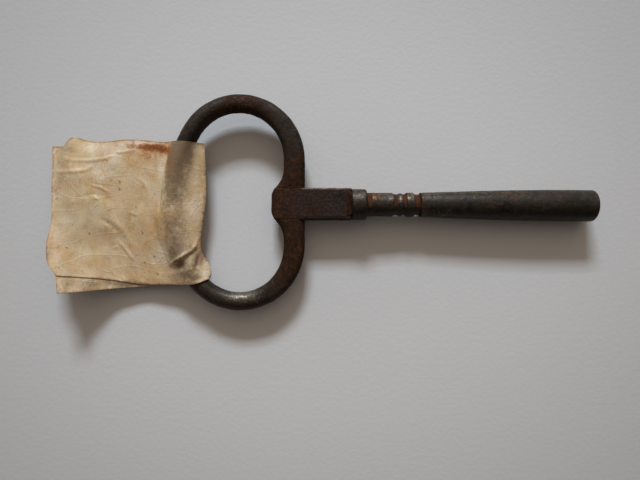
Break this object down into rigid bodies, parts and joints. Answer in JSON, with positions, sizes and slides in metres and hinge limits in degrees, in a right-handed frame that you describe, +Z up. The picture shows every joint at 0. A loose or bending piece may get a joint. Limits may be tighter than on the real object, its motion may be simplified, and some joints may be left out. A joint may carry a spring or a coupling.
{
  "type": "clock key",
  "caption": "Winding key for a clock: kidney-shaped bow, flat neck, turned stem and a pipe with a square socket, with a bare tape label folded round the bow.",
  "frame": {"origin": "centre of the pipe's mouth, on the key's axis", "axes": "+X along the pipe and out of its mouth, the bow lies in the XY plane, +Z up from the table the key lies on"},
  "size_m": [0.1486, 0.0592, 0.0118],
  "materials": {
    "forged_iron": "dark brown patina, pitted, worn at the edges",
    "worn_iron": "grey-brown turned iron with rust in the grooves",
    "rusty_brass": "brazing stained with rust",
    "cloth_tape": "yellowed cloth tape with creases and rust stains"
  },
  "bodies": {
    "root": {"bow": "forged_iron", "neck": "forged_iron", "stem": "worn_iron", "pipe": "worn_iron", "bow_braze": "rusty_brass", "collar_braze": "rusty_brass", "pipe_braze": "rusty_brass", "tape_label": "cloth_tape"}
  },
  "joints": []
}
